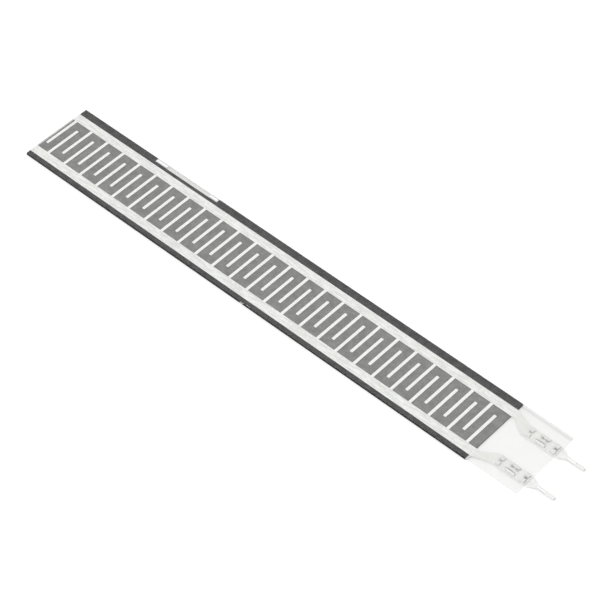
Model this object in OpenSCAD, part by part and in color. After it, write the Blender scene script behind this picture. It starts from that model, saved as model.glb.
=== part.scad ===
// Force sensitive resistor: a trimmed strip with a clear tail and two crimped solder tabs.
// The strip lies flat along X with its face up. The origin is on the rear face, halfway along the
// laminated strip, on the centre line of the silver comb. The tail and its pins point along +X.

/* [Strip] */
// Length of the laminated strip, from the tail to the trimmed end
strip_l = 100.6; // [90:0.1:300]
// Distance from the comb's centre line to the left slit edge
left_edge = 7.55; // [6.9:0.05:10]
// Distance from the comb's centre line to the right slit edge
right_edge = 7.1; // [6.3:0.05:10]

/* [Layers] */
// Thickness of the release liner
liner_t = 0.08; // [0.04:0.01:0.2]
// Thickness of the rear adhesive
adhesive_t = 0.05; // [0.02:0.01:0.15]
// Thickness of the lower film
base_film_t = 0.125; // [0.05:0.005:0.25]
// Thickness of the printed carbon ink
carbon_t = 0.015; // [0.008:0.001:0.03]
// Gap that the spacer rails keep between the ink and the upper film
spacer_t = 0.1; // [0.05:0.005:0.2]
// Thickness of the printed silver
silver_t = 0.012; // [0.006:0.001:0.025]
// Thickness of the clear upper film
top_film_t = 0.125; // [0.05:0.005:0.25]

/* [Spacer rails] */
// Clear width between the two spacer rails
rail_gap = 10.16; // [9:0.02:12]

/* [Silver comb] */
// Clear width between the two bus bars
bus_gap = 8.78; // [6:0.02:8.9]
// Width of each bus bar
bus_w = 1.73; // [1:0.01:1.8]
// Distance from one finger to the next
finger_pitch = 2; // [1.2:0.05:4]
// Width of one finger
finger_w = 0.56; // [0.3:0.01:1]
// Distance from a finger's tip to the other bus bar
tip_gap = 1.55; // [0.4:0.05:3]
// Corner radius of a finger's tip
tip_r = 0.12; // [0.02:0.01:0.14]
// Distance from the tail end of the strip to the centre of the first finger
first_finger = 1.88; // [0.6:0.01:4]

/* [Ink window] */
// Distance from the tail end of the strip to the bare window in the ink
window_start = 67.55; // [5:0.05:75]
// Length of the window
window_l = 14.9; // [4:0.1:15]
// Width of the window, in from the left edge
window_w = 0.71; // [0.3:0.01:1.4]

/* [Tail] */
// Length of the clear tail beyond the laminated strip
tail_l = 10.35; // [8:0.05:30]
// Straight stretch of a trace's outer edge before it turns inwards
outer_lead = 0.4; // [0:0.05:0.8]
// Straight stretch of a trace's inner edge before it turns inwards
inner_lead = 0.95; // [0.2:0.05:1.2]
// Silver that shows beyond each side and the start of a tab's base plate
pad_rim = 0.18; // [0:0.02:0.4]
// Bare film between a pad's end and the tail's end
pad_margin = 0.2; // [0.1:0.05:0.25]

/* [Solder tabs] */
// Distance between the centre lines of the two tabs
tab_pitch = 7.62; // [5.08:0.01:8]
// Distance that the base plate passes the end of the film
plate_overhang = 0.45; // [0:0.05:0.6]
// Thickness of the tab's sheet metal
metal_t = 0.15; // [0.1:0.01:0.25]
// Length of the base plate
plate_l = 7.2; // [5.6:0.05:7.6]
// Width of the base plate
plate_w = 2.05; // [1.9:0.05:2.6]
// Radius of the two corners where the base plate starts
plate_r = 0.45; // [0.1:0.05:0.5]
// Distance from the start of the base plate to the middle of the first pair of tines
crimp_start = 0.9; // [0.8:0.05:1]
// Distance from the film's end to the middle of the last pair of tines
crimp_end = 0.8; // [0.7:0.05:1]
// Length along the tab of a tine in the outer pairs
short_tine_l = 0.8; // [0.4:0.05:0.8]
// Length along the tab of a tine in the middle pair
long_tine_l = 1.8; // [0.4:0.05:2.2]
// Length that a tine loses at each side towards its tip
tine_taper = 0.16; // [0:0.02:0.18]
// Inner radius of a tine's curl
curl_r = 0.1; // [0.1:0.01:0.2]
// Distance from the tab's centre line to the tips of the outer pairs
outer_tip_y = 0.1; // [0.04:0.01:0.14]
// Flat stretch on top of each curl of the middle pair
middle_flat = 0.1; // [0:0.01:0.15]

/* [Pins] */
// Length of the shoulders that narrow from the base plate to the pin
neck_l = 1.15; // [0.5:0.05:3]
// Width of the pin
pin_w = 0.72; // [0.7:0.01:0.8]
// Length from the base plate to the pin's tip
pin_l = 4.65; // [4.3:0.05:20]
// Distance from the base plate to the start of the stiffening bead
bead_start = 1.1; // [0.5:0.05:1.4]
// Length of the bead between its round ends
bead_l = 1.6; // [0.5:0.05:2.2]
// Height of the bead above the pin's upper face
bead_h = 0.12; // [0.04:0.01:0.14]
// Length of the bevel at each side of the pin's tip
tip_bevel_l = 0.35; // [0.1:0.05:0.8]
// Width that the pin loses at each side at its tip
tip_bevel_w = 0.15; // [0.05:0.01:0.22]

/* [Hidden] */
$fn = 48;

// Sides of the strip, seen from the trimmed end towards the pins
LEFT = 1;
RIGHT = -1;

// Ends of the laminated strip and of the tail
tail_x = strip_l / 2;
trimmed_x = -strip_l / 2;
film_end_x = tail_x + tail_l;

// Height of the lower face of each layer
adhesive_z = liner_t;
base_film_z = adhesive_z + adhesive_t;
carbon_z = base_film_z + base_film_t;
spacer_z = carbon_z + carbon_t;
top_film_z = spacer_z + spacer_t;
silver_z = top_film_z - silver_t;
face_z = top_film_z + top_film_t;

// Comb: finger 0 is the one next to the tail and belongs to the right electrode
bus_inner = bus_gap / 2;
bus_outer = bus_inner + bus_w;
bus_y = bus_inner + bus_w / 2;
last_finger = floor((strip_l - first_finger + finger_w / 2) / finger_pitch);

// Solder tabs: the base plate lies against the silver, under the film
tab_y = tab_pitch / 2;
tab_x = film_end_x + plate_overhang - plate_l;
plate_z = silver_z - metal_t;
pad_w = plate_w + 2 * pad_rim;
pad_x = tab_x - pad_rim;
pad_end_x = film_end_x - pad_margin;

// Tines: each has a leg through the film at the plate's edge and a curl that ends on the film's face.
// Heights are measured from the underside of the base plate.
leg_y = plate_w / 2 - metal_t;
curl_z = face_z - plate_z;
curl_outer_r = curl_r + metal_t;
// The outer pairs reach nearly to the centre line, with a flat stretch on top of each curl
outer_flat = plate_w / 2 - 2 * curl_outer_r - outer_tip_y;
// Distance from the start of the base plate to the middle of the last pair
last_crimp = plate_l - plate_overhang - crimp_end;
// The three pairs of tines: distance from the start of the base plate, length along the tab, and
// flat stretch on top of the curl
crimps = [
    [crimp_start, short_tine_l, outer_flat],
    [(crimp_start + last_crimp) / 2, long_tine_l, middle_flat],
    [last_crimp, short_tine_l, outer_flat]
];
bead_outer_r = metal_t + bead_h;
// Extra length of a cutting shape beyond the faces that it cuts
over = 0.5;

// Draws at +Y for the left side, and mirrored to -Y for the right side
module on_side(side) {
    if (side == LEFT) children();
    else mirror([0, 1, 0]) children();
}

// Outline of a layer that is as wide as the strip, from the trimmed end to end_x
module strip_outline(end_x) {
    translate([trimmed_x, -right_edge]) square([end_x - trimmed_x, left_edge + right_edge]);
}

// A layer over the whole laminated strip
module strip_layer(z, thickness) {
    translate([0, 0, z]) linear_extrude(thickness) strip_outline(tail_x);
}

module release_liner() {
    color([0.93, 0.92, 0.87]) strip_layer(0, liner_t);
}

module rear_adhesive() {
    color([0.88, 0.88, 0.84, 0.7]) strip_layer(adhesive_z, adhesive_t);
}

module base_film() {
    color([0.85, 0.87, 0.86, 0.6]) strip_layer(base_film_z, base_film_t);
}

// The ink covers the base film but for a bare window at the left edge
module carbon_ink() {
    color([0.3, 0.3, 0.29]) difference() {
        strip_layer(carbon_z, carbon_t);
        translate([tail_x - window_start - window_l, left_edge - window_w, carbon_z - over])
            cube([window_l, window_w + over, carbon_t + 2 * over]);
    }
}

// A rail fills the height from the ink to the upper film, and is rebated for the bus bar
module spacer_rail(side, edge) {
    color([0.36, 0.36, 0.35]) on_side(side) difference() {
        translate([trimmed_x, rail_gap / 2, spacer_z])
            cube([strip_l, edge - rail_gap / 2, spacer_t]);
        translate([trimmed_x - over, 0, silver_z])
            cube([strip_l + 2 * over, bus_outer, silver_t + over]);
    }
}

module left_spacer_rail() { spacer_rail(LEFT, left_edge); }
module right_spacer_rail() { spacer_rail(RIGHT, right_edge); }

// One finger along Y, with its root on the axis y = 0 and rounded corners at its tip
module finger(length) {
    translate([-finger_w / 2, 0]) square([finger_w, length - tip_r]);
    translate([-finger_w / 2 + tip_r, 0]) square([finger_w - 2 * tip_r, length]);
    for (x = [-1, 1]) translate([x * (finger_w / 2 - tip_r), length - tip_r]) circle(tip_r);
}

// Bus bar, trace and pad of one electrode in one outline, drawn for the side at +Y
module conductor() {
    polygon([
        [trimmed_x, bus_inner],
        [tail_x + inner_lead, bus_inner],
        [pad_x, tab_y - pad_w / 2],
        [pad_end_x, tab_y - pad_w / 2],
        [pad_end_x, tab_y + pad_w / 2],
        [pad_x, tab_y + pad_w / 2],
        [tail_x + outer_lead, bus_outer],
        [trimmed_x, bus_outer]
    ]);
}

// Every second finger from the one given, with its root in the bus bar at +Y, cut at the trimmed end
module fingers(first) {
    intersection() {
        for (i = [first : 2 : last_finger])
            translate([tail_x - first_finger - i * finger_pitch, bus_y])
                rotate(180) finger(bus_y + bus_inner - tip_gap);
        translate([trimmed_x, -bus_inner]) square([strip_l, bus_inner + bus_y]);
    }
}

// Slots that the tines of one tab make in the film and the silver
module tine_slots() {
    for (crimp = crimps, y = [-leg_y - metal_t, leg_y])
        translate([tab_x + crimp[0] - crimp[1] / 2, tab_y + y]) square([crimp[1], metal_t]);
}

// The right electrode is the left one mirrored, with its fingers one step nearer to the tail
module electrode(side, first) {
    color([0.86, 0.86, 0.83]) on_side(side) translate([0, 0, silver_z])
        linear_extrude(silver_t) difference() {
            union() {
                conductor();
                fingers(first);
            }
            tine_slots();
        }
}

module left_electrode() { electrode(LEFT, 1); }
module right_electrode() { electrode(RIGHT, 0); }

module electrode_film() {
    color([0.9, 0.92, 0.92, 0.35]) translate([0, 0, top_film_z]) linear_extrude(top_film_t)
        difference() {
            strip_outline(film_end_x);
            for (side = [LEFT, RIGHT]) on_side(side) tine_slots();
        }
}

// Outline of the tab's flat metal: base plate with two round corners, shoulders, and bevelled pin
module tab_outline() {
    tip_x = plate_l + pin_l;
    for (y = [plate_r - plate_w / 2, plate_w / 2 - plate_r]) translate([plate_r, y]) circle(plate_r);
    translate([0, plate_r - plate_w / 2]) square([plate_l, plate_w - 2 * plate_r]);
    polygon([
        [plate_r, -plate_w / 2],
        [plate_l, -plate_w / 2],
        [plate_l + neck_l, -pin_w / 2],
        [tip_x - tip_bevel_l, -pin_w / 2],
        [tip_x, tip_bevel_w - pin_w / 2],
        [tip_x, pin_w / 2 - tip_bevel_w],
        [tip_x - tip_bevel_l, pin_w / 2],
        [plate_l + neck_l, pin_w / 2],
        [plate_l, plate_w / 2],
        [plate_r, plate_w / 2]
    ]);
}

// Section across a tine: rounded foot, leg through the film, and curl back down to the film
module tine_section(flat) {
    bend_y = plate_w / 2 - curl_outer_r;
    translate([leg_y, metal_t]) intersection() {
        circle(metal_t);
        translate([0, -metal_t]) square(metal_t);
    }
    translate([leg_y, metal_t]) square([metal_t, curl_z - metal_t]);
    for (bend = [[bend_y, 0], [bend_y - flat, -curl_outer_r]])
        translate([bend[0], curl_z]) intersection() {
            difference() {
                circle(curl_outer_r);
                circle(curl_r);
            }
            translate([bend[1], 0]) square(curl_outer_r);
        }
    if (flat > 0) translate([bend_y - flat, curl_z + curl_r]) square([flat, metal_t]);
}

// A tine seen from above: full length at its leg, and narrower at its tip
module tine_plan(length, flat) {
    half = length / 2;
    tip_y = plate_w / 2 - 2 * curl_outer_r - flat;
    polygon([
        [-half, plate_w / 2],
        [-half, leg_y],
        [tine_taper - half, tip_y],
        [half - tine_taper, tip_y],
        [half, leg_y],
        [half, plate_w / 2]
    ]);
}

module tine(length, flat) {
    intersection() {
        translate([-length / 2, 0, 0]) rotate([90, 0, 90]) linear_extrude(length) tine_section(flat);
        linear_extrude(curl_z + curl_outer_r) tine_plan(length, flat);
    }
}

// A rod with round ends along X, which shapes the bead
module bead_rod(radius) {
    translate([plate_l + bead_start, 0, 0]) {
        rotate([0, 90, 0]) cylinder(h = bead_l, r = radius);
        for (x = [0, bead_l]) translate([x, 0, 0]) sphere(radius);
    }
}

// The flat metal with its bead, less the plate's square edges where the tines' round feet go
module tab_sheet() {
    difference() {
        union() {
            linear_extrude(metal_t) tab_outline();
            intersection() {
                bead_rod(bead_outer_r);
                translate([plate_l, -pin_w / 2, 0]) cube([pin_l, pin_w, bead_outer_r]);
            }
        }
        bead_rod(bead_h);
        for (crimp = crimps, y = [-plate_w / 2, leg_y])
            translate([crimp[0] - crimp[1] / 2, y, -over])
                cube([crimp[1], metal_t, metal_t + over]);
    }
}

// A solder tab is one stamping, crimped from below through the silver and the film
module solder_tab(side) {
    color([0.78, 0.78, 0.76]) on_side(side) translate([tab_x, tab_y, plate_z]) {
        tab_sheet();
        for (crimp = crimps, edge = [LEFT, RIGHT])
            translate([crimp[0], 0, 0]) on_side(edge) tine(crimp[1], crimp[2]);
    }
}

module left_solder_tab() { solder_tab(LEFT); }
module right_solder_tab() { solder_tab(RIGHT); }

release_liner();
rear_adhesive();
base_film();
carbon_ink();
left_spacer_rail();
right_spacer_rail();
left_electrode();
right_electrode();
electrode_film();
left_solder_tab();
right_solder_tab();
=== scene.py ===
"""Looks of a force sensitive resistor strip: clear film, printed inks, crimped tabs, light and camera.

Lengths are in metres unless a comment says otherwise. X runs along the strip towards the pins, +Y points to
the long edge with the ink window, and Z points up out of the sensing face.
"""

import math

import bmesh
import bpy
from mathutils import Matrix, Vector


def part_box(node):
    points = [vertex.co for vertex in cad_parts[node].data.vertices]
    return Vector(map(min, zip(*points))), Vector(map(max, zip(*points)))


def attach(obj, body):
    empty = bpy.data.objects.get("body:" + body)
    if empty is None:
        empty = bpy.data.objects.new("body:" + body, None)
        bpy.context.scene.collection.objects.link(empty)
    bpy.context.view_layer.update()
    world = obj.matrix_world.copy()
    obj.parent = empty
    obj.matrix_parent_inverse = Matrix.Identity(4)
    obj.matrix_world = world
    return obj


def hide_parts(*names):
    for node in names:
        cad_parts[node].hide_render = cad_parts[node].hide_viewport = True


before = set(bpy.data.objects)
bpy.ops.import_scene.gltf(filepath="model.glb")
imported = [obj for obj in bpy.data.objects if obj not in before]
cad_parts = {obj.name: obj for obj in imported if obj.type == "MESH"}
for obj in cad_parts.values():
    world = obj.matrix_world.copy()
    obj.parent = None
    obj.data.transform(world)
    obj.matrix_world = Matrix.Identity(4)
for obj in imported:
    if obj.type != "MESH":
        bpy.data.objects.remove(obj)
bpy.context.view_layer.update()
film_low, film_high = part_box("electrode_film")
tab_low, tab_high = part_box("left_solder_tab")

MM = 0.001

# Camera: its place, the point on the floor that it looks at, its roll, and its lens and sensor in mm
CAMERA_AT = Vector((182.835, -191.021, 295.976)) * MM
CAMERA_AIM = Vector((10.079, -0.164, 0.0)) * MM
CAMERA_ROLL_DEG = 0.083
CAMERA_LENS = 138.148
SENSOR_WIDTH = 36.0

# How bright the world is as a light, and how gloss sees it low down. The camera sees it as white
WORLD_LIGHT = 0.76
HORIZON = 0.6

# How steeply a ray rises, as a share of its length, where the world in gloss leaves HORIZON and turns white
HORIZON_RISE = (0.2, 0.6)

# The floor's side, its own colour, and the light added to it for the camera
FLOOR_SIDE = 4.0
FLOOR_GREY = 0.8
FLOOR_LIFT = 0.28

# Each clear sheet is drawn in by this on every side, so that none of its faces lies in another's
CLEAR_GAP = 0.004 * MM

# Corners this close are one corner, and two normals whose product is over this are one direction
SAME_CORNER = 1e-7
SAME_DIRECTION = 0.999

# Share of the light that the film's face mirrors straight on, and what is added to it edge on
MIRRORED = 0.05
MIRRORED_EDGE_ON = 0.9

# Tail end of the laminated strip, and half of the clear width between its spacer rails
TAIL_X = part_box("carbon_ink")[1].x
RAIL_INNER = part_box("left_spacer_rail")[0].y

# Inner and outer edge of each bus bar, out from the comb's centre line
BUS_INNER = 4.39 * MM
BUS_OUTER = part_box("left_electrode")[1].y

# Centre line of each solder tab, where the pins and their tips begin, and a height just over the pins'
# flats, above which the beads are painted white as a highlight
TAB_Y = (tab_low.y + tab_high.y) / 2
PIN_X = 61.0 * MM
# From here the pins' cut tips darken, a painted dark reflection
TIP_X = tab_high.x - 0.2 * MM
BEAD_HIGHLIGHT_Z = film_low.z

# Where the silver pads begin under the tabs
PAD_X = 54.5 * MM

# Middle of the long tines and half their length
LONG_TINE_X = 57.35 * MM
LONG_TINE_HALF = 0.9 * MM

# Places across the tab: the long tines' near curl carries a painted highlight below the first, which fades
# out by the second
NEAR_CURL_HIGHLIGHT_Y = (-0.85 * MM, -0.7 * MM)

# Painted shade where the tines pinch the film, in the gaps between the tines' tips and beside them, in mm:
# X, place across the tab, half of each side, and strength
CRIMP_SHADES = (
    (54.72, 0.12, 0.46, 0.5, 0.23),
    (56.85, 0.4, 0.35, 0.32, 0.4),
    (57.92, 0.28, 0.44, 0.36, 0.29),
    (57.15, -0.42, 1.0, 0.2, 1.0),
    (59.85, -0.04, 0.46, 0.44, 0.48),
)

# Where a patch of painted shade begins to fade and where it ends, in squared shares of its half sides
CRIMP_SHADE_FADE = (0.2, 1.3)

# Painted shadow of the film's far cut edge, a darker stripe along the tail's far border: its middle, and
# half its width with and without its soft sides
EDGE_SHADOW_Y = 7.05 * MM
EDGE_SHADOW_OUTER = 0.5 * MM
EDGE_SHADOW_CORE = 0.1 * MM

# The bare window in the ink: its ends, its inner side, and where its greyer outer rim begins
WINDOW_X = (-32.15 * MM, -17.25 * MM)
WINDOW_Y = 6.85 * MM
WINDOW_RIM_Y = 7.355 * MM

# Ends of the window's clear middle. Towards its own ends the window is milky white
WINDOW_CLEAR_X = (-29.3 * MM, -19.1 * MM)
WINDOW_SOFT = 0.08 * MM

# The tines' slots lie this close to the centre line, and this far or more from the film's end and the strip
SLOTS_Y = 6.9 * MM
SLOTS_OFF_FILM_END = 0.1 * MM
SLOTS_OFF_STRIP = 1 * MM

# Nicks where pale film shows at the near edge, in mm: place, and radius
NICKS = (
    ((1.62, -7.1, 0.24), 0.23),
    ((2.0, -7.02, 0.25), 0.18),
    ((2.9, -6.83, 0.27), 0.11),
    ((3.34, -6.94, 0.27), 0.13),
)

# Share of a nick's radius inside which it is fully pale, and how pale its film is
NICK_CORE = 0.85
NICK_GREY = 0.7

# The frayed chip: its outline in mm, clockwise from above, and the heights of its lower and upper face
CHIP_OUTLINE = (
    (50.304, -6.05), (50.55, -6.1), (50.74, -6.18), (50.62, -6.36), (50.54, -6.48), (50.64, -6.6),
    (50.7, -6.76), (50.58, -6.88), (50.64, -6.99), (50.5, -7.06), (50.304, -7.08),
)
CHIP_LOW = 0.14 * MM
CHIP_HIGH = 0.25 * MM


# Node helpers, in which an owner is a material or the world


def new_material(name):
    """A material whose only node is its output."""
    material = bpy.data.materials.new(name)
    material.use_nodes = True
    material.node_tree.nodes.clear()
    material.node_tree.nodes.new("ShaderNodeOutputMaterial")
    return material


def finish_material(material, shader):
    """Feeds the shader to the material's output."""
    tree = material.node_tree
    tree.links.new(shader.outputs[0], tree.nodes["Material Output"].inputs["Surface"])
    return material


def feed(owner, socket, value):
    """Links a socket to another one, or sets it to a plain value."""
    if isinstance(value, bpy.types.NodeSocket):
        owner.node_tree.links.new(value, socket)
    else:
        socket.default_value = value


def add(owner, kind, **settings):
    """A node of that kind. Settings name its sockets, with _ for a space, or else its properties."""
    node = owner.node_tree.nodes.new(kind)
    for name, value in settings.items():
        socket = node.inputs.get(name.replace("_", " "))
        if socket is None:
            setattr(node, name, value)
        else:
            feed(owner, socket, value)
    return node


def place(material):
    """Where on the object a point is, in metres."""
    return add(material, "ShaderNodeTexCoord").outputs["Object"]


def split(owner, vector):
    """The X, Y and Z of a vector, by name."""
    return add(owner, "ShaderNodeSeparateXYZ", Vector=vector).outputs


def noise(material, at, scale, detail=2.0, roughness=0.5, stretch=(1, 1, 1)):
    """Noise around 0.5, with scale in repeats a metre."""
    mapping = add(material, "ShaderNodeMapping", Vector=at, Scale=stretch)
    return add(
        material,
        "ShaderNodeTexNoise",
        Vector=mapping.outputs["Vector"],
        Scale=scale,
        Detail=detail,
        Roughness=roughness,
    ).outputs["Fac"]


def remap(owner, value, low, high, to_low, to_high):
    """value, with low to high stretched over to_low to to_high and held at both."""
    node = add(owner, "ShaderNodeMapRange", Value=value)
    for name, number in zip(("From Min", "From Max", "To Min", "To Max"), (low, high, to_low, to_high)):
        node.inputs[name].default_value = number
    return node.outputs["Result"]


def spread(material, value, low, high):
    """A value of 0 to 1, with its middle part stretched over low to high."""
    return remap(material, value, 0.3, 0.7, low, high)


def patches(material, value, most=1.0):
    """Noise with more contrast, from 0 to most."""
    return remap(material, value, 0.35, 0.65, 0, most)


def past(material, value, edge, soft):
    """0 where value is less than edge and 1 where it is more, changing within soft of it."""
    return remap(material, value, edge - soft, edge + soft, 0, 1)


def maths(owner, operation, *values):
    """A Math node of that operation."""
    node = add(owner, "ShaderNodeMath", operation=operation)
    for socket, value in zip(node.inputs, values):
        feed(owner, socket, value)
    return node.outputs["Value"]


def both(material, first, second):
    """1 where both masks are 1."""
    return maths(material, "MULTIPLY", first, second)


def either(owner, first, second):
    """1 where either mask is 1."""
    return maths(owner, "MAXIMUM", first, second)


def outside(material, mask):
    """0 where the mask is 1, and 1 where it is 0."""
    return maths(material, "SUBTRACT", 1.0, mask)


def between(material, value, low, high):
    """1 where value lies between low and high, else 0."""
    above = maths(material, "GREATER_THAN", value, low)
    return both(material, above, maths(material, "LESS_THAN", value, high))


def unsigned(material, value):
    """value without its sign."""
    return maths(material, "ABSOLUTE", value)


def distance(material, value, middle):
    """How far value is from middle, to either side."""
    return unsigned(material, maths(material, "SUBTRACT", value, middle))


def mix_colours(material, factor, first, second):
    """first where factor is 0 and second where it is 1. Each is a colour or a socket."""
    node = add(material, "ShaderNodeMix", data_type="RGBA")
    for socket, value in ((node.inputs[0], factor), (node.inputs[6], first), (node.inputs[7], second)):
        feed(material, socket, value)
    return node.outputs[2]


def mix_shaders(material, factor, first, second):
    """The first shader where factor is 0 and the second where it is 1."""
    node = add(material, "ShaderNodeMixShader", Fac=factor)
    material.node_tree.links.new(first.outputs[0], node.inputs[1])
    material.node_tree.links.new(second.outputs[0], node.inputs[2])
    return node


def bump(material, height, depth):
    """A normal from a height of 0 to 1, depth metres from lowest to highest."""
    return add(material, "ShaderNodeBump", Height=height, Distance=depth, Strength=1.0).outputs["Normal"]


def grey(level, tint=0.0):
    """A linear grey, a little olive with tint."""
    return (level * (1 - tint), level, level * (1 - 4 * tint), 1.0)


# Places on the object


def facing_up(material):
    """1 on faces that look up, 0 on upright ones and -1 on those that look down."""
    return split(material, add(material, "ShaderNodeNewGeometry").outputs["Normal"])["Z"]


def on_flat(material):
    """1 on level faces, and 0 on upright ones."""
    return spread(material, unsigned(material, facing_up(material)), 0, 1)


def nicked(material, at):
    """1 inside the nicks, else 0."""
    share = 0.0
    for middle, radius in NICKS:
        off = add(material, "ShaderNodeVectorMath", operation="DISTANCE")
        feed(material, off.inputs[0], at)
        feed(material, off.inputs[1], Vector(middle) * MM)
        inside = remap(material, off.outputs["Value"], radius * NICK_CORE * MM, radius * MM, 1, 0)
        share = either(material, share, inside)
    return share


def across_tab(material, spot):
    """How far a point is from its tab's centre line, towards the far edge."""
    middle = maths(material, "MULTIPLY", maths(material, "SIGN", spot["Y"]), TAB_Y)
    return maths(material, "SUBTRACT", spot["Y"], middle)


def crimp_shade(material, at):
    """How much painted shade the crimps put on a point, from 0 to 1."""
    spot = split(material, at)
    across = across_tab(material, spot)
    ragged = spread(material, noise(material, at, 3000), -0.3, 0.3)
    painted_shade = 0.0
    for x, y, half_x, half_y, strength in CRIMP_SHADES:
        along = maths(material, "MULTIPLY_ADD", spot["X"], 1 / (half_x * MM), -x / half_x)
        aside = maths(material, "MULTIPLY_ADD", across, 1 / (half_y * MM), -y / half_y)
        off = maths(material, "MULTIPLY_ADD", aside, aside, ragged)
        off = maths(material, "MULTIPLY_ADD", along, along, off)
        painted_shade = either(material, painted_shade, remap(material, off, *CRIMP_SHADE_FADE, strength, 0))
    return painted_shade


def over_bus_end(material, spot):
    """1 where the bus bars reach the trimmed end, else 0."""
    trimmed = maths(material, "LESS_THAN", spot["X"], 0.05 * MM - TAIL_X)
    return both(material, trimmed, between(material, unsigned(material, spot["Y"]), BUS_INNER, BUS_OUTER))


def over_window(material, spot):
    """1 on the far half of the strip beside the bare window, else 0."""
    far = maths(material, "GREATER_THAN", spot["Y"], 0.0)
    return both(material, between(material, spot["X"], *WINDOW_X), far)


def in_slot(material, spot):
    """1 between the film's outer edges on the tail, where only the tines' slots have cut edges, else 0."""
    on_tail = between(material, spot["X"], TAIL_X + SLOTS_OFF_STRIP, film_high.x - SLOTS_OFF_FILM_END)
    return both(material, on_tail, maths(material, "LESS_THAN", unsigned(material, spot["Y"]), SLOTS_Y))


def window_rim(material, spot):
    """1 on the outer rim of the window, else 0."""
    return past(material, spot["Y"], WINDOW_RIM_Y, soft=0.075 * MM)


def window_frost(material, spot, bare):
    """1 on the window's two milky ends, inside its rim, else 0. bare is 1 over the whole window."""
    started = past(material, spot["X"], WINDOW_X[0] + 2 * WINDOW_SOFT, WINDOW_SOFT)
    middle_started = past(material, spot["X"], WINDOW_CLEAR_X[0], WINDOW_SOFT)
    left_end = both(material, started, outside(material, middle_started))
    right_end = past(material, spot["X"], WINDOW_CLEAR_X[1], WINDOW_SOFT)
    inside = both(material, bare, outside(material, window_rim(material, spot)))
    return both(material, inside, either(material, left_end, right_end))


# Materials


def carbon_ink():
    """Matt ink: grey over the air gap, and darker where the clear adhesive of the rails wets it."""
    look = new_material("carbon_ink")
    at = place(look)
    wetted = past(look, unsigned(look, split(look, at)["Y"]), RAIL_INNER, soft=0.03 * MM)
    cloud = noise(look, at, 900, detail=4)
    grain = noise(look, at, 6000, detail=3)
    patch = patches(look, cloud)
    dry = mix_colours(look, patch, grey(0.222, 0.012), grey(0.288, 0.012))
    wet = mix_colours(look, patch, grey(0.029), grey(0.07))
    ink = mix_colours(look, wetted, dry, wet)
    speckled = mix_colours(look, patches(look, grain, 0.25), ink, grey(0.02))
    shader = add(
        look,
        "ShaderNodeBsdfPrincipled",
        Base_Color=mix_colours(look, nicked(look, at), speckled, grey(NICK_GREY)),
        Roughness=spread(look, cloud, 0.62, 0.75),
        Specular_IOR_Level=0.2,
        Normal=bump(look, grain, 0.002 * MM),
    )
    return finish_material(look, shader)


def silver_ink():
    """Screen printed silver: pale and mottled, duller on the bus bars, and not metallic on the pads."""
    look = new_material("silver_ink")
    at = place(look)
    spot = split(look, at)
    aside = past(look, unsigned(look, spot["Y"]), BUS_INNER, soft=0.1 * MM)
    on_strip = remap(look, spot["X"], TAIL_X, TAIL_X + 0.3 * MM, 1, 0)
    mottle = noise(look, at, 2200, detail=3)
    grain = noise(look, at, 16000, detail=2)
    streak = noise(look, at, 3200, detail=2, stretch=(0.13, 1, 1))
    patch = remap(look, maths(look, "MULTIPLY_ADD", streak, 2.0, mottle), 1.2, 1.8, 0, 1)
    finger = mix_colours(look, patch, grey(0.95, 0.004), grey(1.0, 0.004))
    bus = mix_colours(look, patch, grey(0.79, 0.008), grey(0.97, 0.008))
    shader = add(
        look,
        "ShaderNodeBsdfPrincipled",
        Base_Color=mix_colours(look, both(look, aside, on_strip), finger, bus),
        Roughness=spread(look, mottle, 0.45, 0.6),
        Metallic=remap(look, spot["X"], PAD_X - 0.5 * MM, PAD_X + 0.5 * MM, 0.25, 0.0),
        Normal=bump(look, grain, 0.0015 * MM),
    )
    return finish_material(look, shader)


def film_colour(look, at, spot, bare, haze):
    """What the film lets through: less on the tail than on the strip, less again in the painted shadow of
    the tail's far cut edge, and least in the painted shade where the tines pinch it.
    """
    on_tail = remap(look, spot["X"], TAIL_X, TAIL_X + 0.5 * MM, 0, 1)
    edge_shadow = remap(look, distance(look, spot["Y"], EDGE_SHADOW_Y), EDGE_SHADOW_CORE, EDGE_SHADOW_OUTER, 1, 0)
    strip = mix_colours(look, haze, grey(0.975), grey(0.988))
    tail = mix_colours(look, haze, grey(0.913, 0.003), grey(0.928, 0.003))
    colour = mix_colours(look, on_tail, strip, tail)
    # Painted shadow of the far cut edge: a darker stripe in the tail's film
    colour = mix_colours(look, both(look, edge_shadow, on_tail), colour, grey(0.785))
    smear = remap(look, noise(look, at, 700, detail=3, stretch=(0.4, 1, 1)), 0.48, 0.62, 0, 1)
    pane = mix_colours(look, smear, grey(1.0, 0.003), grey(0.985, 0.003))
    pane = mix_colours(look, window_rim(look, spot), pane, grey(0.86, 0.003))
    colour = mix_colours(look, bare, colour, pane)
    # The film darkens to painted shade where the tines pinch it
    return mix_colours(look, crimp_shade(look, at), colour, grey(0.58))


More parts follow.
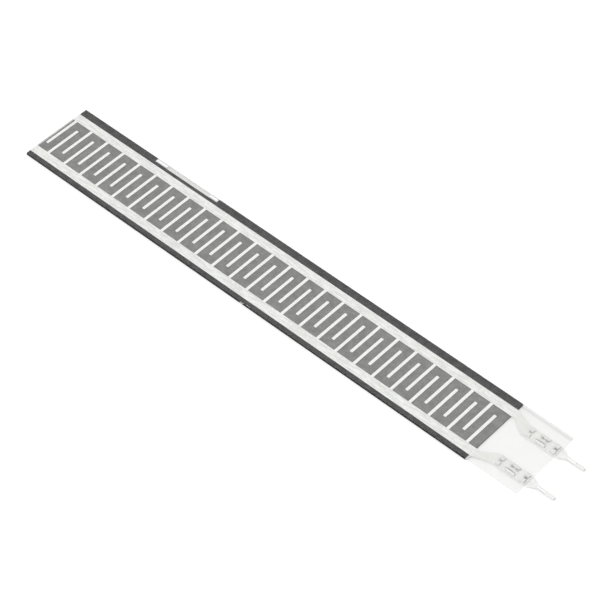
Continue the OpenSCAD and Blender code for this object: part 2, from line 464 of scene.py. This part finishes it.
def film_face():
    """The film's glossy face: clear, with faint haze and fine waves, and milky at the window's ends."""
    look = new_material("film_face")
    at = place(look)
    spot = split(look, at)
    haze = noise(look, at, 350, detail=4)
    wave = noise(look, at, 120, detail=1)
    bare = both(look, over_window(look, spot), past(look, spot["Y"], WINDOW_Y, soft=0.05 * MM))
    frost = window_frost(look, spot, bare)
    clear = add(look, "ShaderNodeBsdfTransparent", Color=film_colour(look, at, spot, bare, haze))
    milky = add(look, "ShaderNodeBsdfDiffuse", Color=mix_colours(look, frost, grey(0.85), grey(0.97)))
    body = mix_shaders(look, remap(look, frost, 0, 1, 0.012, 0.95), clear, milky)
    gloss = add(
        look,
        "ShaderNodeBsdfGlossy",
        Color=grey(0.95),
        Roughness=spread(look, haze, 0.06, 0.14),
        Normal=bump(look, wave, 0.01 * MM),
    )
    edge_on = add(look, "ShaderNodeLayerWeight", Blend=0.5).outputs["Facing"]
    steepness = maths(look, "POWER", edge_on, 5.0)
    mirrored = maths(look, "MULTIPLY_ADD", steepness, MIRRORED_EDGE_ON, MIRRORED)
    return finish_material(look, mix_shaders(look, mirrored, body, gloss))


def clear_back(name, through, haze_share):
    """A clear surface that mirrors nothing: the film's back, or adhesive that wets what it touches."""
    look = new_material(name)
    cloud = noise(look, place(look), 500, detail=3)
    tone = mix_colours(look, cloud, grey(through), grey(through + 0.015))
    clear = add(look, "ShaderNodeBsdfTransparent", Color=tone)
    milky = add(look, "ShaderNodeBsdfDiffuse", Color=grey(0.8))
    return finish_material(look, mix_shaders(look, haze_share, clear, milky))


def film_edge():
    """The film's cut edge: dark over the ink, pale and half clear elsewhere, and clear in the slots."""
    look = new_material("film_edge")
    at = place(look)
    spot = split(look, at)
    fray = noise(look, at, 3000, detail=3)
    on_tail = past(look, spot["X"], TAIL_X, soft=0.1 * MM)
    off_ink = either(look, over_window(look, spot), over_bus_end(look, spot))
    pale = either(look, on_tail, off_ink)
    slot = in_slot(look, spot)
    dark_tone = mix_colours(look, fray, grey(0.005), grey(0.018))
    pale_tone = mix_colours(look, fray, grey(0.75), grey(0.92))
    clear = add(look, "ShaderNodeBsdfTransparent", Color=mix_colours(look, slot, grey(0.9), grey(1.0)))
    cut = add(
        look,
        "ShaderNodeBsdfPrincipled",
        Base_Color=mix_colours(look, pale, dark_tone, pale_tone),
        Roughness=0.4,
        Specular_IOR_Level=0.12,
    )
    milkiness = both(look, remap(look, pale, 0, 1, 1.0, 0.45), outside(look, slot))
    return finish_material(look, mix_shaders(look, milkiness, clear, cut))


def slit_edge():
    """The adhesive's slit side: black, the dark of the ink below it with painted shade for the shadowed
    wall, pale in the nicks, and clear at the window.
    """
    look = new_material("slit_edge")
    at = place(look)
    # Painted shade for the shadowed wall, over the ink's own dark
    shaded_side = mix_colours(look, noise(look, at, 3000, detail=3), grey(0.004), grey(0.014))
    black = add(
        look,
        "ShaderNodeBsdfPrincipled",
        Base_Color=mix_colours(look, nicked(look, at), shaded_side, grey(NICK_GREY)),
        Roughness=0.6,
        Specular_IOR_Level=0.1,
    )
    clear = add(look, "ShaderNodeBsdfTransparent", Color=grey(0.9))
    return finish_material(look, mix_shaders(look, over_window(look, split(look, at)), black, clear))


def sheet_with_shaded_edge(name, face_low, face_high, edge, roughness):
    """A lower layer: pale on its faces, and dark on its cut edges outside the nicks, as painted shade for
    the shadowed wall together with the ink's own dark.
    """
    look = new_material(name)
    at = place(look)
    cloud = noise(look, at, 700, detail=3)
    face = mix_colours(look, cloud, face_low, face_high)
    # Painted shade for the shadowed wall on the cut edges, over the ink's own dark
    shaded_rim = mix_colours(look, noise(look, at, 4000), edge, grey(0.016))
    shaded_rim = mix_colours(look, nicked(look, at), shaded_rim, grey(NICK_GREY))
    shader = add(
        look,
        "ShaderNodeBsdfPrincipled",
        Base_Color=mix_colours(look, on_flat(look), shaded_rim, face),
        Roughness=roughness,
        Specular_IOR_Level=0.15,
        Normal=bump(look, cloud, 0.002 * MM),
    )
    return finish_material(look, shader)


def liner_paper():
    """Siliconised paper: off-white, with fine fibres, and nearly black on its slit edges as painted shade
    for the shadowed wall.
    """
    look = new_material("liner_paper")
    fibres = noise(look, place(look), 1500, detail=6, roughness=0.6, stretch=(1, 2.5, 1))
    face = mix_colours(look, patches(look, fibres), grey(0.72, 0.02), grey(0.82, 0.015))
    # Painted shade: the slit edges are nearly black
    shaded_rim = mix_colours(look, fibres, grey(0.01), grey(0.025))
    shader = add(
        look,
        "ShaderNodeBsdfPrincipled",
        Base_Color=mix_colours(look, on_flat(look), shaded_rim, face),
        Roughness=spread(look, fibres, 0.38, 0.55),
        Normal=bump(look, fibres, 0.004 * MM),
    )
    return finish_material(look, shader)


def tin_plate():
    """Bright tin plating with rolling lines. Painted light and shade: the curls' tops are duller, their
    upright sides and the long tines' near curls whiter, the pins' upright sides greyer and their beads
    white, and the pins' cut tips dark as a painted reflection.
    """
    look = new_material("tin_plate")
    at = place(look)
    spot = split(look, at)
    lines = noise(look, at, 6000, detail=3, stretch=(0.06, 1, 1))
    stain = noise(look, at, 900, detail=3)
    off_top = remap(look, facing_up(look), 0.3, 0.8, 1, 0)
    on_pin = maths(look, "GREATER_THAN", spot["X"], PIN_X)
    plate = mix_colours(look, patches(look, stain), grey(0.85, 0.006), grey(0.92, 0.006))
    # Painted shade: the pins' upright and lower faces are greyer
    plate = mix_colours(look, both(look, on_pin, off_top), plate, grey(0.72))

    # On the raised tines, painted light whitens the upright and inner sides and the long tines' near curl,
    # and the tops take a duller painted shade
    raised = past(look, spot["Z"], film_high.z, soft=0.02 * MM)
    off_long = distance(look, spot["X"], LONG_TINE_X)
    long_tine = remap(look, off_long, LONG_TINE_HALF, LONG_TINE_HALF + 0.1 * MM, 1, 0)
    near_curl_highlight = remap(look, across_tab(look, spot), *NEAR_CURL_HIGHLIGHT_Y, 0.3, 0)
    painted_light = either(look, off_top, both(look, long_tine, near_curl_highlight))
    shaded_top = mix_colours(look, stain, grey(0.76, 0.006), grey(0.88, 0.006))
    colour = mix_colours(look, raised, plate, mix_colours(look, painted_light, shaded_top, grey(1.0)))

    # Painted highlight: the pins' beads, above their flats, are white
    bead_highlight = remap(look, spot["Z"], BEAD_HIGHLIGHT_Z, BEAD_HIGHLIGHT_Z + 0.04 * MM, 0, 1)
    colour = mix_colours(look, both(look, on_pin, bead_highlight), colour, grey(1.0))
    # Painted dark reflection on the pins' cut tips
    tip_dark_reflection = remap(look, spot["X"], TIP_X, TIP_X + 0.12 * MM, 0, 0.48)
    # The tin darkens to painted shade where the tines pinch the film
    painted_shade = maths(look, "MULTIPLY", crimp_shade(look, at), 0.85)
    colour = mix_colours(look, either(look, painted_shade, tip_dark_reflection), colour, grey(0.35))

    shine = spread(look, lines, 0.16, 0.28)
    shader = add(
        look,
        "ShaderNodeBsdfPrincipled",
        Base_Color=colour,
        Metallic=1.0,
        Roughness=maths(look, "MULTIPLY_ADD", both(look, raised, off_top), 0.4, shine),
        Normal=bump(look, lines, 0.0015 * MM),
    )
    return finish_material(look, shader)


def frayed_film():
    """Torn film: white and rough on its faces, and grey on its edges."""
    look = new_material("film_chip")
    fray = patches(look, noise(look, place(look), 2600, detail=3))
    face = mix_colours(look, fray, grey(0.8), grey(1.0))
    shader = add(
        look,
        "ShaderNodeBsdfPrincipled",
        Base_Color=mix_colours(look, on_flat(look), grey(0.2), face),
        Roughness=0.5,
        Normal=bump(look, fray, 0.02 * MM),
    )
    return finish_material(look, shader)


# Pieces


def new_object(name, bm, materials):
    """Puts a finished mesh in the scene, with its materials."""
    mesh = bpy.data.meshes.new(name)
    bm.to_mesh(mesh)
    bm.free()
    for material in materials:
        mesh.materials.append(material)
    piece = bpy.data.objects.new(name, mesh)
    bpy.context.scene.collection.objects.link(piece)
    return piece


def clear_sheet(node, name, materials, pick):
    """A copy of a clear CAD sheet, drawn in by CLEAR_GAP. pick(normal) numbers a face's material."""
    bm = bmesh.new()
    bm.from_mesh(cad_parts[node].data)
    bmesh.ops.remove_doubles(bm, verts=bm.verts, dist=SAME_CORNER)
    bmesh.ops.dissolve_limit(bm, angle_limit=math.radians(1), verts=bm.verts, edges=bm.edges)
    bm.normal_update()
    shifts = []
    for vert in bm.verts:
        normals = []
        for face in vert.link_faces:
            if all(face.normal.dot(other) < SAME_DIRECTION for other in normals):
                normals.append(face.normal.copy())
        shifts.append(-CLEAR_GAP * sum(normals, Vector()))
    for vert, shift in zip(bm.verts, shifts):
        vert.co += shift
    for face in bm.faces:
        face.material_index = pick(face.normal)
    piece = new_object(name, bm, materials)
    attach(piece, "root")
    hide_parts(node)


def make_chip():
    """A frayed sliver of the base film that sticks out past the tail end of the near band."""
    bm = bmesh.new()
    lower = [bm.verts.new((x * MM, y * MM, CHIP_LOW)) for x, y in CHIP_OUTLINE]
    upper = [bm.verts.new((x * MM, y * MM, CHIP_HIGH)) for x, y in CHIP_OUTLINE]
    bm.faces.new(lower)
    bm.faces.new(upper[::-1])
    for corner in range(len(lower)):
        bm.faces.new((lower[corner], lower[corner - 1], upper[corner - 1], upper[corner]))
    chip = new_object("film_chip", bm, [frayed_film()])
    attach(chip, "root")


def film_side(normal):
    """0 on the film's upper face, 1 on its lower face and 2 on its cut edges."""
    if normal.z > 0.5:
        return 0
    return 1 if normal.z < -0.5 else 2


def rail_side(normal):
    """1 on a rail's upright sides, which were slit or cut, and 0 on its level faces."""
    return 1 if abs(normal.z) < 0.5 else 0


def dress(node, material):
    """Gives a CAD node its material."""
    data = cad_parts[node].data
    data.materials.clear()
    data.materials.append(material)


def dress_cad_nodes():
    """Gives each CAD node that stays in view its material."""
    dress("carbon_ink", carbon_ink())
    dress("base_film", sheet_with_shaded_edge("base_film", grey(0.98), grey(1.0), grey(0.006), 0.25))
    tacky = sheet_with_shaded_edge("rear_adhesive", grey(0.7, 0.02), grey(0.78, 0.02), grey(0.008), 0.5)
    dress("rear_adhesive", tacky)
    dress("release_liner", liner_paper())
    silver = silver_ink()
    tin = tin_plate()
    for side in ("left", "right"):
        dress(f"{side}_electrode", silver)
        dress(f"{side}_solder_tab", tin)


def make_film():
    """The clear film with the electrodes under it, which is also the tail."""
    looks = [film_face(), clear_back("film_back", 0.985, 0.004), film_edge()]
    clear_sheet("electrode_film", "clear_film", looks, film_side)


def make_rails():
    """The two clear spacer rails."""
    looks = [clear_back("rail_adhesive", 0.985, 0.002), slit_edge()]
    for side in ("left", "right"):
        clear_sheet(f"{side}_spacer_rail", f"{side}_rail", looks, rail_side)


# Floor, light and camera


def camera_sees(material):
    """1 for rays from the camera, and for those that gloss or glass send on, else 0."""
    path = add(material, "ShaderNodeLightPath").outputs
    seen = either(material, path["Is Camera Ray"], path["Is Glossy Ray"])
    return either(material, seen, path["Is Transmission Ray"])


def make_floor():
    """A plain white floor, which takes the object's shadow."""
    bm = bmesh.new()
    bmesh.ops.create_grid(bm, x_segments=1, y_segments=1, size=FLOOR_SIDE / 2)
    look = new_material("floor")
    shade = add(look, "ShaderNodeBsdfDiffuse", Color=grey(FLOOR_GREY))
    strength = maths(look, "MULTIPLY", camera_sees(look), FLOOR_LIFT)
    lift = add(look, "ShaderNodeEmission", Color=grey(1.0), Strength=strength)
    lifted = add(look, "ShaderNodeAddShader")
    look.node_tree.links.new(shade.outputs[0], lifted.inputs[0])
    look.node_tree.links.new(lift.outputs[0], lifted.inputs[1])
    new_object("floor", bm, [finish_material(look, lifted)])


def make_world():
    """Even studio light. The camera sees it as white, and gloss as white overhead and grey low down."""
    world = bpy.data.worlds.new("studio")
    bpy.context.scene.world = world
    world.use_nodes = True
    tree = world.node_tree
    tree.nodes.clear()
    path = add(world, "ShaderNodeLightPath").outputs
    height = split(world, add(world, "ShaderNodeTexCoord").outputs["Generated"])["Z"]
    sky = remap(world, height, *HORIZON_RISE, HORIZON, 1.0)
    as_light = remap(world, path["Is Glossy Ray"], 0, 1, WORLD_LIGHT, 0)
    lit = maths(world, "MULTIPLY_ADD", path["Is Glossy Ray"], sky, as_light)
    seen = either(world, path["Is Camera Ray"], path["Is Transmission Ray"])
    background = add(world, "ShaderNodeBackground", Color=grey(1.0), Strength=either(world, lit, seen))
    output = tree.nodes.new("ShaderNodeOutputWorld")
    tree.links.new(background.outputs[0], output.inputs["Surface"])


def softbox(name, at, side, power):
    """A square area lamp that faces the middle of the strip, and that gloss doesn't show."""
    data = bpy.data.lights.new(name, "AREA")
    data.shape = "SQUARE"
    data.size = side
    data.energy = power
    lamp = bpy.data.objects.new(name, data)
    bpy.context.scene.collection.objects.link(lamp)
    lamp.location = at
    lamp.rotation_euler = (-Vector(at)).to_track_quat("-Z", "Y").to_euler()
    lamp.visible_glossy = False


def make_camera():
    """The photograph's camera."""
    data = bpy.data.cameras.new("camera")
    data.lens = CAMERA_LENS
    data.sensor_width = SENSOR_WIDTH
    data.clip_start = 0.01
    camera = bpy.data.objects.new("camera", data)
    bpy.context.scene.collection.objects.link(camera)
    facing = (CAMERA_AIM - CAMERA_AT).to_track_quat("-Z", "Y").to_matrix()
    turned = facing @ Matrix.Rotation(math.radians(CAMERA_ROLL_DEG), 3, "Z")
    camera.matrix_world = Matrix.Translation(CAMERA_AT) @ turned.to_4x4()
    bpy.context.scene.camera = camera


dress_cad_nodes()
make_film()
make_chip()
make_rails()
make_floor()
make_world()
softbox("key", at=(0.2, -0.3, 0.8), side=0.75, power=2.5)
softbox("fill", at=(-0.5, -0.5, 0.6), side=0.5, power=0.7)
make_camera()
bpy.context.scene.view_settings.view_transform = "Standard"
